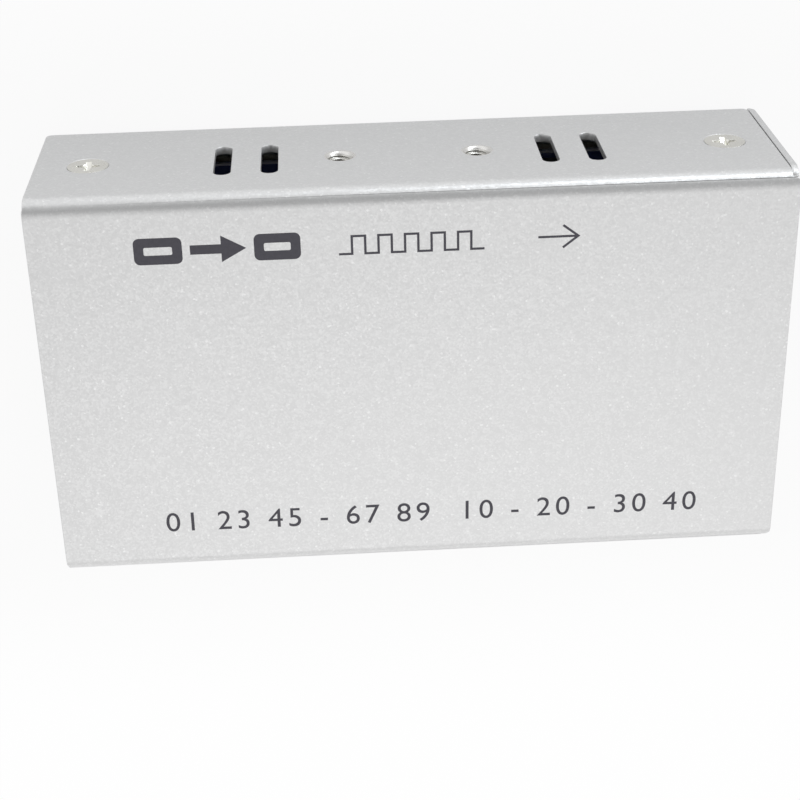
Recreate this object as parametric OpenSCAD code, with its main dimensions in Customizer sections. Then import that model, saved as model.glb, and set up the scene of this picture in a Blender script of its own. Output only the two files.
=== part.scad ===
// Box of a wired video extender, transmitter side: a folded sheet-metal case in two halves,
// with the circuit board that it protects and the sockets at its two ends.
// Millimetres. The box lies on its feet with the printed face up: X runs along the print,
// Y across it and Z up. The origin is the middle of the footprint, at the level of the feet.

/* [Case] */
// Length of the case
case_l = 90; // [88:0.5:110]
// Width of the case
case_w = 50; // [49:0.5:64]
// Height of the case, without its feet
case_h = 24; // [23.5:0.5:34]
// Thickness of the cover's sheet
cover_sheet = 1; // [0.8:0.1:1.2]
// Thickness of the base's sheet
base_sheet = 0.8; // [0.7:0.1:1]
// Inner radius of the cover's folds
cover_fold_r = 1; // [0.3:0.1:1.5]
// Inner radius of the base's folds
base_fold_r = 0.1; // [0.1:0.05:0.4]
// Gap between the right ends of the cover's walls and the fold of the end panel that covers them
seam = 0.05; // [0.05:0.05:0.3]
// How far the left ends of the walls stay inside the end of the top plate
wall_setback = 0.1; // [0.05:0.05:0.3]
// Gap between the cover's top plate and the end panels
top_seam = 0.1; // [0.05:0.05:0.3]
// How far the corners of the top plate stay inside the walls' outer faces
lip_setback = 0.65; // [0.4:0.05:0.9]
// Corner radius of the top plate
lip_corner_r = 0.6; // [0.2:0.1:0.8]
// Corner radius of the walls' free edges
wall_corner_r = 0.8; // [0.3:0.1:1.5]
// Radius of the right end panel's upper corners
panel_corner_r = 2; // [1:0.1:2.5]

/* [Vents] */
// Width of a vent slot
slot_w = 2.05; // [1.5:0.05:3]
// Length of a vent slot
slot_l = 10; // [6:0.5:12]
// Distance between the two slots of a pair
slot_pitch = 5.6; // [4:0.1:7]
// Distance from the middle of the wall to the middle of a pair of slots
slot_pair_x = 19.55; // [16:0.05:22]

/* [Cover screws] */
// Distance from the end of the case to the screws
screw_inset = 6.5; // [6:0.1:8]
// Thread diameter of the cover screws
screw_d = 3; // [2.5:0.1:3.2]
// Length of the cover screws
screw_l = 5; // [4:0.5:6]
// Diameter of the countersunk heads
head_d = 5; // [4.8:0.1:5.6]
// Gap round the countersunk heads, and how far they are sunk
head_gap = 0.05; // [0.02:0.01:0.1]
// Span of the cross recess in the heads
recess_span = 3; // [2.2:0.1:3.2]
// Width of the blades of the cross recess
recess_blade = 0.7; // [0.4:0.05:0.8]
// Depth of the cross recess
recess_depth = 1.1; // [0.8:0.1:1.4]
// Gap round a screw thread
thread_gap = 0.05; // [0.02:0.01:0.1]
// Width of the base's screw tabs
tab_w = 9; // [7:0.5:10]
// Gap between a tab and the cover's wall
tab_gap = 0.15; // [0.05:0.05:0.3]
// Height of a tab above the screw's axis
tab_over = 3.5; // [3:0.1:4.5]
// Corner radius of the tabs
tab_corner_r = 1.5; // [0.5:0.1:2.5]
// Width of the relief cut beside a tab's fold
relief_w = 0.6; // [0.3:0.1:1]
// Diameter of the tapped collar on a tab
collar_d = 4.4; // [4:0.1:5]
// Height of the tapped collar on a tab
collar_h = 1; // [0.5:0.1:1.5]

/* [Ear holes] */
// Distance between the two tapped holes for a mounting ear
ear_pitch = 16.6; // [12:0.1:20]
// Diameter of the tapped holes' walls
ear_d = 2.8; // [2.4:0.05:3]
// Diameter of the bright ring where the tap has cut the paint
ear_ring_d = 3.5; // [3.2:0.1:4]
// Outer diameter of the drawn collars behind the tapped holes
ear_collar_d = 4.6; // [4.2:0.1:5.5]
// Height of the drawn collars
ear_collar_h = 1.2; // [0.6:0.1:1.6]

/* [Feet] */
// Height of the feet
foot_h = 1.5; // [1:0.1:3]
// Diameter of the feet
foot_d = 8; // [6:0.5:9]
// Distance from the ends of the case to the middle of a foot
foot_inset_x = 8; // [6:0.5:12]
// Distance from the sides of the case to the middle of a foot
foot_inset_y = 8; // [6.5:0.5:11]
// Bevel round the bottom of a foot
foot_bevel = 0.4; // [0.2:0.1:0.8]

/* [Circuit board] */
// Thickness of the circuit board
board_t = 1.6; // [1.2:0.2:2]
// Gap between the ends of the board and the end panels
board_end_gap = 1.2; // [0.6:0.1:1.5]
// Gap between the sides of the board and the screw tabs
board_side_gap = 0.85; // [0.4:0.05:1.2]
// Share of the free height in the case that lies below the board
board_rise_share = 0.5; // [0.45:0.05:0.55]
// Diameter of the standoffs
standoff_d = 5; // [4.6:0.1:6]
// Diameter of the spigot that rivets a standoff into the base
spigot_d = 4; // [3.6:0.1:4.4]
// Distance from the right end of the board to its screws
mount_inset_x = 5; // [4:0.1:6]
// Distance from the side of the board to its screws
mount_inset_y = 3.4; // [3.2:0.1:4]
// Thread diameter of the board screws
board_screw_d = 3; // [2.5:0.1:3]
// Share of a standoff's height that its screw fills
board_screw_share = 0.8; // [0.6:0.05:0.9]
// Head diameter of the board screws
pan_d = 5.5; // [5:0.1:6]
// Head height of the board screws
pan_h = 1.8; // [1.4:0.1:2.2]
// Thickness of the insulating sheet
film_t = 0.3; // [0.1:0.05:0.5]
// Gap round the insulating sheet and its holes
film_gap = 0.6; // [0.3:0.1:1]
// Gap round a part that passes through the board
hole_gap = 0.1; // [0.05:0.01:0.15]
// Length of the leads below the board
lead_below = 1; // [0.5:0.1:1.4]
// Smallest gap between neighbouring parts on the board
part_gap = 0.8; // [0.5:0.1:1]
// Gap between the sides of the board and the parts along them
edge_gap = 0.6; // [0.4:0.1:0.8]

/* [Video socket] */
// Distance from the middle of the end panel to the video socket
video_y = 7.5; // [7.3:0.1:8]
// Inner width of the video socket
video_w = 14; // [13.8:0.05:14.2]
// Inner height of the video socket
video_h = 4.55; // [4.4:0.05:4.8]
// Bevel of the two lower corners of the video socket
video_bevel = 1.7; // [1.2:0.1:2]
// Thickness of the socket's shell
video_sheet = 0.3; // [0.2:0.05:0.4]
// Length of the shell
video_l = 11.5; // [11:0.1:12.5]
// How far the shell stands out of the panel
video_proud = 0.3; // [0:0.1:0.6]
// Height of the shell above the board
video_lift = 0.3; // [0.2:0.05:0.6]
// Width of the tongue
tongue_w = 11; // [10.6:0.1:11.4]
// Thickness of the tongue
tongue_t = 1.5; // [1.3:0.1:1.7]
// Distance from the mouth to the tip of the tongue
tongue_back = 1.2; // [0.8:0.1:1.8]
// Depth of the socket in front of the rear block
video_depth = 8.5; // [8:0.1:9]
// Distance between neighbouring contacts
video_pitch = 0.5; // [0.48:0.01:0.52]
// Width of a video contact
video_contact_w = 0.28; // [0.2:0.01:0.32]
// Thickness of a video contact
video_contact_t = 0.15; // [0.1:0.01:0.2]

/* [Power socket] */
// Distance from the middle of the end panel to the power socket
power_y = 11; // [10.6:0.1:12]
// Width of the power socket
power_w = 9; // [8.8:0.1:9.6]
// Height of the power socket
power_h = 11; // [10.8:0.1:11.6]
// Length of the power socket
power_l = 14; // [13.5:0.1:14.5]
// Height of the power socket's axis above the board
power_axis = 6.5; // [6.3:0.1:6.7]
// Thickness of the power socket's front plate
power_front = 3.3; // [2.5:0.1:4]
// Diameter of the power socket's barrel
power_barrel_d = 8.6; // [8.2:0.1:8.8]
// Diameter of the power socket's bore
power_bore_d = 6.4; // [6:0.1:6.6]
// Depth of the power socket's bore
power_depth = 10; // [9:0.1:10.5]
// Diameter of the centre pin
pin_d = 2.1; // [1.9:0.1:2.5]
// Distance from the socket's face to the tip of the centre pin
pin_back = 1; // [0.5:0.1:2]
// Diameter of the panel hole in front of the power socket
power_hole_d = 7.6; // [7:0.1:8]

/* [Power lamp] */
// Distance from the middle of the end panel to the power lamp
lamp_y = 3; // [2.9:0.05:3.3]
// Diameter of the lamp
lamp_d = 3; // [2.8:0.1:3.2]
// Height of the lamp's axis above the board
lamp_axis = 3.4; // [3:0.1:4]
// How far the lamp stands out of the panel
lamp_proud = 0.3; // [0:0.1:0.6]
// Length of the lamp
lamp_l = 6.3; // [6:0.1:8]
// Width of the lamp's holder
holder_w = 4; // [3.8:0.1:4.2]
// Distance between the lamp's two leads
lamp_pitch = 1.6; // [1.4:0.1:2]

/* [Network socket] */
// Width of the network socket
net_w = 15.9; // [15.6:0.1:16.5]
// Height of the network socket
net_h = 13.2; // [12.8:0.1:13.6]
// Length of the network socket
net_l = 21.3; // [20.5:0.1:21.8]
// How far the network socket stands out of the panel
net_proud = 0.3; // [0:0.1:0.6]
// Thickness of the network socket's shield
net_sheet = 0.25; // [0.2:0.01:0.3]
// Width of the plug cavity
cavity_w = 11.8; // [11.7:0.05:12]
// Height of the plug cavity
cavity_h = 6.8; // [6.6:0.05:7]
// Depth of the plug cavity
cavity_depth = 14; // [13:0.1:15]
// Share of the height left by the plug cavity that lies under it
cavity_floor_share = 0.36; // [0.34:0.01:0.38]
// Width of the latch channel
latch_w = 6.4; // [6.2:0.1:6.8]
// Height of the latch channel
latch_h = 1.9; // [1.6:0.05:2]
// Distance between neighbouring network contacts
net_pitch = 1.02; // [1:0.01:1.05]
// Width of a network contact
net_contact_w = 0.4; // [0.3:0.01:0.5]
// Thickness of a network contact
net_contact_t = 0.3; // [0.2:0.01:0.35]
// Width of a network lamp
net_lamp_w = 3; // [2.6:0.1:3.2]
// Height of a network lamp, as a share of the height left by the plug cavity
net_lamp_share = 0.39; // [0.35:0.01:0.4]
// Length of a network lamp
net_lamp_l = 11; // [9:0.5:13]
// Distance from the end of the plug cavity to the contacts' tails
net_tail = 1.8; // [1.5:0.1:2.5]
// Diameter of the housing's posts
post_d = 3.1; // [2.9:0.1:3.3]
// Distance from the socket's front to its posts
post_back = 9; // [8.6:0.1:9.4]
// Distance between the two posts
post_pitch = 11.8; // [11.4:0.1:12]

/* [Chips] */
// Side of the extender chip
main_chip = 14; // [12:0.5:14.5]
// Thickness of the chips
chip_t = 1.5; // [1.2:0.1:1.8]
// Thickness of the thermal pad
pad_t = 0.5; // [0.3:0.1:0.8]
// Side of the heat sink
sink_side = 22; // [20:0.5:22.5]
// Height of the heat sink
sink_h = 7; // [5:0.5:8]
// Thickness of the heat sink's base
sink_base = 1.8; // [1.5:0.1:2.5]
// Thickness of a fin
fin_t = 1; // [0.8:0.1:1.4]
// Side of the control chip
control_chip = 7; // [6:0.5:7.5]
// Length of a memory chip
memory_l = 5; // [4.6:0.1:5.4]
// Width of a memory chip
memory_w = 4; // [3.8:0.1:4.4]
// Reach of a chip's leads beyond its body
lead_reach = 1; // [0.8:0.1:1.2]
// Thickness of a chip's leads
lead_t = 0.15; // [0.1:0.01:0.2]
// Width of a chip's leads
lead_w = 0.35; // [0.25:0.01:0.4]

/* [Other board parts] */
// Length of the line transformer, across the board
transformer_l = 15.2; // [14.5:0.1:15.6]
// Width of the line transformer
transformer_w = 9.4; // [9:0.1:9.8]
// Height of the line transformer
transformer_h = 6; // [5:0.1:6.5]
// Diameter of a capacitor can
can_d = 6.3; // [6:0.1:6.6]
// Height of a capacitor can
can_h = 5.4; // [5:0.1:6.5]
// Side of a capacitor's base
can_base = 6.6; // [6.3:0.1:6.9]
// Thickness of a capacitor's base
can_base_t = 0.8; // [0.6:0.1:1.2]
// Side of a power inductor
inductor_side = 7.3; // [7:0.1:7.5]
// Height of a power inductor
inductor_h = 4.2; // [3.5:0.1:5]
// Length of the crystal
crystal_l = 11.4; // [10.5:0.1:11.6]
// Width of the crystal
crystal_w = 4.7; // [4.4:0.1:5]
// Height of the crystal
crystal_h = 4; // [3.4:0.1:4.6]
// Side of the regulator's body
regulator_side = 6.4; // [6:0.1:6.6]
// Height of the regulator
regulator_h = 2.3; // [2:0.1:2.6]
// Length of the input fuse
fuse_l = 4.5; // [4:0.1:4.8]
// Length of a signal choke
choke_l = 2; // [1.8:0.1:2.1]
// Length of a small ceramic part
ceramic_l = 1.6; // [1.4:0.1:1.8]

/* [Hidden] */

$fn = 48;

// Overrun of every cut
over = 0.5;

// Levels, measured from the underside of the base
screw_z = case_h / 2;
panel_top = case_h - cover_sheet - top_seam;
tab_top = screw_z + tab_over;
free_h = case_h - cover_sheet - base_sheet - board_t - net_h;
standoff_h = free_h * board_rise_share;
board_screw_l = board_t + standoff_h * board_screw_share;
board_z = base_sheet + standoff_h;
board_top = board_z + board_t;

// Outer radii of the folds
cover_r = cover_fold_r + cover_sheet;
base_r = base_fold_r + base_sheet;

// Lengths and widths that follow from the case
wall_from = wall_setback - case_l / 2;
wall_to = case_l / 2 - base_r - seam;
lip_w = case_w - 2 * lip_setback;
tab_outer = case_w / 2 - cover_sheet - tab_gap;
tab_inner = tab_outer - base_sheet;
board_l = case_l - 2 * (base_sheet + board_end_gap);
board_w = 2 * (tab_inner - board_side_gap);
mount_y = board_w / 2 - mount_inset_y;
screw_x = case_l / 2 - screw_inset;

// Video socket
tongue_z = video_lift + video_sheet + video_h / 2;
video_front = -video_proud;
video_back = video_front + video_l;
video_leg_w = 4 * video_sheet;
video_leg_xs = [video_back - video_l * 0.7, video_back - 2 * video_leg_w];
video_count = 19;
video_foot = video_back + 3 * video_contact_t + lead_reach;

// Power socket
power_face = base_sheet + head_gap;
power_end = power_face + power_l;
pin_end = power_face + power_depth;
shank_share = 1.3;
blade_t = pin_d / 5;
blade_w = pin_d * shank_share;
spring_t = blade_t * 0.75;
spring_w = pin_d;
spring_x = power_face + power_depth * 0.8;

// Power lamp
holder_x = base_sheet + head_gap;
lamp_end = lamp_l - lamp_proud;
lamp_lead_d = lamp_d / 6;
lamp_lead_x = lamp_end + lamp_lead_d * 2;

// Network socket
net_front = -net_proud;
net_lamp_y = (latch_w + net_w) / 4;
net_free_h = net_h - net_sheet - cavity_h;
cavity_floor = net_free_h * cavity_floor_share;
net_lamp_h = net_free_h * net_lamp_share;
net_lamp_z = cavity_floor + cavity_h + net_sheet;
net_lamp_gap = head_gap;
net_tail_x = net_front + cavity_depth + net_tail;
post_x = net_front + post_back;
net_leg_w = 5 * net_sheet;
net_leg_xs = [net_front + net_l * 0.3, net_front + net_l * 0.72];
net_contacts = 8;

// Board screws: the left pair stands behind the power socket, the right pair near the board's end
mount_xs = [power_end + blade_t + part_gap + pan_d / 2 - case_l / 2, board_l / 2 - mount_inset_x];

// Transformer in front of the network socket, and the extender chip midway to the chokes
transformer_place = [case_l / 2 + net_proud - net_l - part_gap - lead_reach - transformer_w / 2, 0];
chokes_end = video_foot + choke_l * 3 / 2 - case_l / 2;
chip_x = (chokes_end + transformer_place.x - transformer_w / 2) / 2;
chip_place = [chip_x, (inductor_side - crystal_w) / 2];
fuse_place = [power_end + blade_t + part_gap + fuse_l / 2 - case_l / 2, power_w / 2 - power_y];

// Row along the lower side of the board, spread evenly between the board screws
lower_row = [can_base, inductor_side, inductor_side, regulator_side, memory_l, can_base];
lower_from = mount_xs[0] + pan_d / 2;
lower_to = mount_xs[1] - pan_d / 2;
lower_gap = (lower_to - lower_from - sum_to(lower_row, len(lower_row))) / (len(lower_row) + 1);

// Row along the upper side: crystal, control chip, memory chip and a capacitor
crystal_place = [chip_x, high_y(crystal_w)];
control_x = chip_x + (main_chip + control_chip) / 2 + 2 * lead_reach + part_gap;
control_place = [control_x, high_y(control_chip + 2 * lead_reach)];
memory_x = control_x + (control_chip + memory_l) / 2 + lead_reach + part_gap;
upper_can_x = memory_x + (memory_l + can_base) / 2 + part_gap;

// Parts that stand in both rows
memory_depth = memory_w + 2 * lead_reach;
memory_places = [[memory_x, high_y(memory_depth)], [lower_x(4), low_y(memory_depth)]];
capacitor_places = [[lower_x(0), low_y(can_base)], [lower_x(5), low_y(can_base)],
    [upper_can_x, high_y(can_base)]];
inductor_places = [for (i = [1, 2]) [lower_x(i), low_y(inductor_side)]];
regulator_place = [lower_x(3), low_y(regulator_side * 4 / 3)];

// Small ceramic parts
ceramic_pitch = ceramic_l * 1.4;
ceramic_aspect_share = 0.5;

// Box of the given size, centred in X and Y and standing on z = 0
module block(size) {
    translate([-size.x / 2, -size.y / 2, 0]) cube(size);
}

// Lifts its children from the underside of the base to their height on the feet
module lifted() {
    translate([0, 0, foot_h]) children();
}

// Places its children in all four corners, at +-x and +-y
module corners(x, y) {
    for (sx = [-1, 1], sy = [-1, 1]) translate([sx * x, sy * y, 0]) children();
}

// Puts its children on both long walls at the given places; local z points out of the wall
module on_walls(places) {
    for (side = [-1, 1], x = places)
        translate([x, side * case_w / 2, screw_z]) rotate([-90 * side, 0, 0]) children();
}

// Puts its children on the board
module on_board(place) {
    translate([place.x, place.y, board_top]) children();
}

// Puts its children at the four board screws
module on_mounts() {
    for (x = mount_xs, side = [-1, 1]) translate([x, side * mount_y, 0]) children();
}

// Sum of the first n sizes
function sum_to(sizes, n) = n == 0 ? 0 : sizes[n - 1] + sum_to(sizes, n - 1);

// Middle of part i in the row along the lower side
function lower_x(i) = lower_from + (i + 1) * lower_gap + sum_to(lower_row, i) + lower_row[i] / 2;

// Middle of a part of the given depth that stands along the lower or the upper side
function low_y(depth) = edge_gap + (depth - board_w) / 2;
function high_y(depth) = -low_y(depth);

// Frame of a socket in the left panel: x = 0 is the panel's outer face, x grows inwards, z = 0 the board
module at_left(y) {
    translate([-case_l / 2, y, board_top]) children();
}

// The same in the right panel
module at_right(y) {
    translate([case_l / 2, y, board_top]) rotate([0, 0, 180]) children();
}

// Turns an outline in (y, z) into a bar from x = from to x = to
module bar_x(from, to) {
    translate([from, 0, 0]) rotate([90, 0, 90]) linear_extrude(to - from) children();
}

// Turns an outline in (x, z) into a bar of the given width, centred on y = 0
module bar_y(width) {
    rotate([90, 0, 0]) linear_extrude(width, center = true) children();
}

// Rectangle standing on the axis with its two upper corners rounded
module arch(w, h, r) {
    translate([-w / 2, 0]) square([w, h - r]);
    translate([r - w / 2, 0]) square([w - 2 * r, h]);
    for (side = [-1, 1]) translate([side * (w / 2 - r), h - r]) circle(r);
}

// Rectangle centred on the origin with all four corners rounded
module rounded(w, h, r) {
    square([w, h - 2 * r], center = true);
    square([w - 2 * r, h], center = true);
    for (sx = [-1, 1], sy = [-1, 1]) translate([sx * (w / 2 - r), sy * (h / 2 - r)]) circle(r);
}

// Slot of width w and length l with round ends, centred on the origin
module stadium(w, l) {
    square([w, l - w], center = true);
    for (side = [-1, 1]) translate([0, side * (l - w) / 2]) circle(d = w);
}

// Side view of a sheet folded up out of the floor: the fold and the upright above it
module upright(outer, top, r_in, sheet) {
    r = r_in + sheet;
    translate([outer - r, r]) intersection() {
        difference() {
            circle(r);
            circle(r_in);
        }
        translate([0, -r]) square(r);
    }
    translate([outer - sheet, r]) square([sheet, top - r]);
}

// Side view of a strip of thickness t bent along the points of a path
module bent_strip(path, t) {
    for (i = [0 : len(path) - 2]) {
        run = path[i + 1] - path[i];
        translate(path[i]) rotate(atan2(run.y, run.x)) translate([0, -t / 2]) square([norm(run), t]);
    }
    for (i = [1 : 1 : len(path) - 2]) translate(path[i]) circle(d = t);
}

// Outline of the video socket, grown outwards by g; its two lower corners are bevelled
module video_outline(g) {
    half = video_w / 2 + g;
    low = video_bevel - g * tan(22.5);
    flat = video_w / 2 - video_bevel + g * tan(22.5);
    translate([0, video_lift + video_sheet])
        polygon([[-half, video_h + g], [-half, low], [-flat, -g], [flat, -g], [half, low],
            [half, video_h + g]]);
}

// Cutting shape of a cross recess, its top at z = 0: two tapered blades and a cone between them
module cross_recess(span, blade, depth) {
    for (turn = [0, 90]) rotate([0, 0, turn]) bar_y(blade)
        polygon([[-span / 2, over], [-span / 2, 0], [-span / 6, -depth], [span / 6, -depth],
            [span / 2, 0], [span / 2, over]]);
    flare = (span / 2 - blade) / depth;
    translate([0, 0, -depth]) cylinder(d1 = blade, d2 = blade + flare * (depth + over), h = depth + over);
}

// Gull-wing leads in a row along x, on one side of a chip whose edge lies at y = edge
module lead_row(edge, n, pitch, height) {
    for (i = [0 : n - 1])
        translate([(i - (n - 1) / 2) * pitch, 0, 0]) rotate([0, 0, 90]) bar_y(lead_w)
            bent_strip([[edge, height], [edge + lead_reach * 0.35, height],
                [edge + lead_reach * 0.5, lead_t / 2], [edge + lead_reach, lead_t / 2]], lead_t);
}

// Path of a video contact in its row, from the tip of the tongue to its foot on the board
function video_path(up) =
    let (z = tongue_z + (up ? 1 : -1) * (tongue_t + video_contact_t) / 2)
    let (turn = video_back + 2 * video_contact_t)
    [[tongue_back + 2 * video_contact_t, z], [turn, z], [turn, video_contact_t / 2],
        [video_foot, video_contact_t / 2]];

// Path of a network contact: spring arm, hairpin at the front, run under the floor, tail
function net_path() =
    let (level = cavity_floor - 2 * net_contact_t)
    let (bend = net_front + cavity_depth * 0.28)
    [[net_front + cavity_depth * 0.72, cavity_floor + cavity_h * 0.34], [bend, cavity_floor + net_contact_t],
        [bend, level], [net_tail_x, level], [net_tail_x, -board_t - lead_below]];

// Path of the power socket's spring, from its lip in the bore to its tail
function spring_path() =
    let (wall = power_axis - power_bore_d / 2)
    [[power_face + power_depth * 0.25, wall - spring_t / 2],
        [power_face + power_depth * 0.5, wall + spring_t / 2],
        [spring_x, wall - 2 * spring_t], [spring_x, -board_t - lead_below]];

// Place of a signal choke behind the video socket
function choke_place(i) = [video_foot + choke_l, (i - 3 / 2) * choke_l * 1.2];

// Cover: top plate and two long walls folded out of one sheet. The plate and the upper part of
// its folds run the full length; the walls stop short of it.
module cover() {
    color("lightgray") lifted() difference() {
        union() {
            intersection() {
                bar_x(wall_from, wall_to) difference() {
                    arch(case_w, case_h, cover_r);
                    translate([0, -over])
                        arch(case_w - 2 * cover_sheet, case_h - cover_sheet + over, cover_fold_r);
                }
                bar_y(case_w + 2 * over) translate([(wall_from + wall_to) / 2, case_h + over])
                    mirror([0, 1]) arch(wall_to - wall_from, case_h + over, wall_corner_r);
            }
            intersection() {
                translate([0, 0, case_h - cover_sheet])
                    linear_extrude(cover_sheet) rounded(case_l, lip_w, lip_corner_r);
                bar_x(-case_l / 2, case_l / 2) arch(case_w, case_h, cover_r);
            }
            on_walls([-ear_pitch / 2, ear_pitch / 2])
                translate([0, 0, -cover_sheet - ear_collar_h])
                    cylinder(d = ear_collar_d, h = ear_collar_h + cover_sheet / 2);
        }
        on_walls([-screw_x, screw_x]) countersink();
        on_walls([-ear_pitch / 2, ear_pitch / 2]) tapped_hole();
        on_walls([for (pair = [-1, 1], one = [-1, 1]) pair * slot_pair_x + one * slot_pitch / 2])
            translate([0, 0, -cover_sheet - over])
                linear_extrude(cover_sheet + 2 * over) stadium(slot_w, slot_l);
    }
}

// Countersunk hole through the wall, its cone a little wider than the screw's head
module countersink() {
    rim = head_d / 2 + 2 * head_gap;
    deep = cover_sheet + over;
    translate([0, 0, -deep]) cylinder(r1 = rim - deep, r2 = rim + over, h = deep + over);
}

// Tapped hole with a chamfer as wide as the bright ring
module tapped_hole() {
    chamfer = (ear_ring_d - ear_d) / 2;
    deep = cover_sheet + ear_collar_h + over;
    translate([0, 0, -deep]) cylinder(d = ear_d, h = deep + over);
    translate([0, 0, -chamfer]) cylinder(d1 = ear_d, d2 = ear_ring_d + 2 * over, h = chamfer + over);
}

// Base: floor, two end panels and four screw tabs folded out of one sheet
module base() {
    color("silver") lifted() difference() {
        union() {
            floor_plate();
            end_panel(case_w, panel_corner_r);
            rotate([0, 0, 180]) end_panel(2 * tab_outer, cover_fold_r + tab_gap);
            for (turn = [0, 180], x = [-screw_x, screw_x]) rotate([0, 0, turn]) tab(x);
        }
        on_mounts() translate([0, 0, -over])
            cylinder(d = spigot_d + 2 * head_gap, h = base_sheet + 2 * over);
        at_left(video_y) bar_x(-over, base_r + over) video_outline(video_sheet + hole_gap);
        at_left(-power_y) translate([-over, 0, power_axis]) rotate([0, 90, 0])
            cylinder(d = power_hole_d, h = base_r + over);
        at_left(-lamp_y) translate([-over, 0, lamp_axis]) rotate([0, 90, 0])
            cylinder(d = lamp_d + 2 * hole_gap, h = base_r + over);
        at_right(0) translate([base_sheet / 2, 0, -hole_gap])
            block([base_sheet + 2 * over, net_w + 2 * hole_gap, net_h + 2 * hole_gap]);
    }
}

// Floor between the walls, cut back where the tabs fold up
module floor_plate() {
    difference() {
        block([case_l - 2 * base_r, 2 * tab_outer, base_sheet]);
        for (side = [-1, 1], x = [-screw_x, screw_x])
            translate([x, side * (tab_outer - base_r / 2 + over / 2), -over])
                block([tab_w + 2 * relief_w, base_r + over, base_sheet + 2 * over]);
    }
}

// End panel of the given width with its upper corners rounded. The right one covers the ends of
// the walls, and stops the cover as it slides on over the left one, which fits between the walls.
module end_panel(width, corner_r) {
    intersection() {
        bar_y(width) upright(case_l / 2, panel_top, base_fold_r, base_sheet);
        bar_x(0, case_l) arch(width, panel_top, corner_r);
    }
}

// Screw tab with a tapped collar on its inner face
module tab(x) {
    difference() {
        union() {
            intersection() {
                translate([x, 0, 0]) rotate([0, 0, 90]) bar_y(tab_w)
                    upright(tab_outer, tab_top, base_fold_r, base_sheet);
                translate([x, 0, 0]) rotate([0, 0, 90]) bar_x(0, case_w) arch(tab_w, tab_top, tab_corner_r);
            }
            translate([x, tab_outer - base_sheet / 2, screw_z]) rotate([90, 0, 0])
                cylinder(d = collar_d, h = collar_h + base_sheet / 2);
        }
        translate([x, tab_outer + over, screw_z]) rotate([90, 0, 0])
            cylinder(d = screw_d + 2 * thread_gap, h = base_sheet + collar_h + 2 * over);
    }
}

// Four countersunk screws that hold the cover to the tabs
module cover_screws() {
    head_h = (head_d - screw_d) / 2;
    tip = screw_d / 6;
    color("gainsboro") lifted() on_walls([-screw_x, screw_x]) translate([0, 0, -head_gap]) difference() {
        union() {
            translate([0, 0, -head_h]) cylinder(d1 = screw_d, d2 = head_d, h = head_h);
            translate([0, 0, tip - screw_l]) cylinder(d = screw_d, h = screw_l - tip - head_h);
            translate([0, 0, -screw_l]) cylinder(d1 = screw_d - 2 * tip, d2 = screw_d, h = tip);
        }
        cross_recess(recess_span, recess_blade, recess_depth);
    }
}

// Four stick-on feet under the base
module rubber_feet() {
    color("dimgray") corners(case_l / 2 - foot_inset_x, case_w / 2 - foot_inset_y) {
        cylinder(d1 = foot_d - 2 * foot_bevel, d2 = foot_d, h = foot_bevel);
        translate([0, 0, foot_bevel]) cylinder(d = foot_d, h = foot_h - foot_bevel);
    }
}

// Insulating sheet on the floor, with holes for the standoffs
module insulation_sheet() {
    color("ivory") lifted() translate([0, 0, base_sheet]) difference() {
        block([board_l - 2 * film_gap, board_w - 2 * film_gap, film_t]);
        on_mounts() translate([0, 0, -over])
            cylinder(d = standoff_d + 2 * film_gap, h = film_t + 2 * over);
    }
}

// Four standoffs riveted into the floor, bored for the board screws
module board_standoffs() {
    color("goldenrod") lifted() on_mounts() difference() {
        union() {
            cylinder(d = spigot_d, h = base_sheet);
            translate([0, 0, base_sheet]) cylinder(d = standoff_d, h = standoff_h);
        }
        translate([0, 0, -over])
            cylinder(d = board_screw_d + 2 * thread_gap, h = board_z + 2 * over);
    }
}

// Four pan-head screws that hold the board
module board_screws() {
    color("gainsboro") lifted() on_mounts() translate([0, 0, board_top]) difference() {
        union() {
            translate([0, 0, -board_screw_l]) cylinder(d = board_screw_d, h = board_screw_l);
            cylinder(d = pan_d, h = pan_h * 2 / 3);
            translate([0, 0, pan_h * 2 / 3]) cylinder(d1 = pan_d, d2 = pan_d - pan_h, h = pan_h / 3);
        }
        translate([0, 0, pan_h]) cross_recess(recess_span, recess_blade, pan_h * 2 / 3);
    }
}

// Circuit board with the holes that its sockets and screws need
module main_board() {
    color("midnightblue") lifted() difference() {
        translate([0, 0, board_z]) block([board_l, board_w, board_t]);
        translate([0, 0, board_z - over]) on_mounts()
            cylinder(d = board_screw_d + 2 * hole_gap, h = board_t + 2 * over);
        at_left(video_y) video_legs(hole_gap);
        at_left(-power_y) power_tails(hole_gap);
        at_left(-lamp_y) for (side = [-1, 1])
            translate([lamp_lead_x, side * lamp_pitch / 2, -board_t - over])
                cylinder(d = lamp_lead_d * 2, h = board_t + 2 * over);
        at_right(0) {
            network_legs(hole_gap);
            for (side = [-1, 1]) translate([post_x, side * post_pitch / 2, -board_t - over])
                cylinder(d = post_d + 2 * hole_gap, h = board_t + 2 * over);
            for (i = [0 : net_contacts - 1])
                translate([net_tail_x, (i - (net_contacts - 1) / 2) * net_pitch, -board_t - over])
                    block([net_contact_t + 2 * hole_gap, net_contact_w + 2 * hole_gap, board_t + 2 * over]);
        }
    }
}

// Four legs of the video socket's shell; a gap makes them the board's slots
module video_legs(gap = 0) {
    rise = gap > 0 ? over : video_lift + video_sheet + video_h / 2;
    drop = board_t + (gap > 0 ? over : lead_below);
    for (side = [-1, 1], x = video_leg_xs)
        translate([x, side * (video_w + video_sheet) / 2, -drop])
            block([video_leg_w + 2 * gap, video_sheet + 2 * gap, rise + drop]);
}

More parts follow.
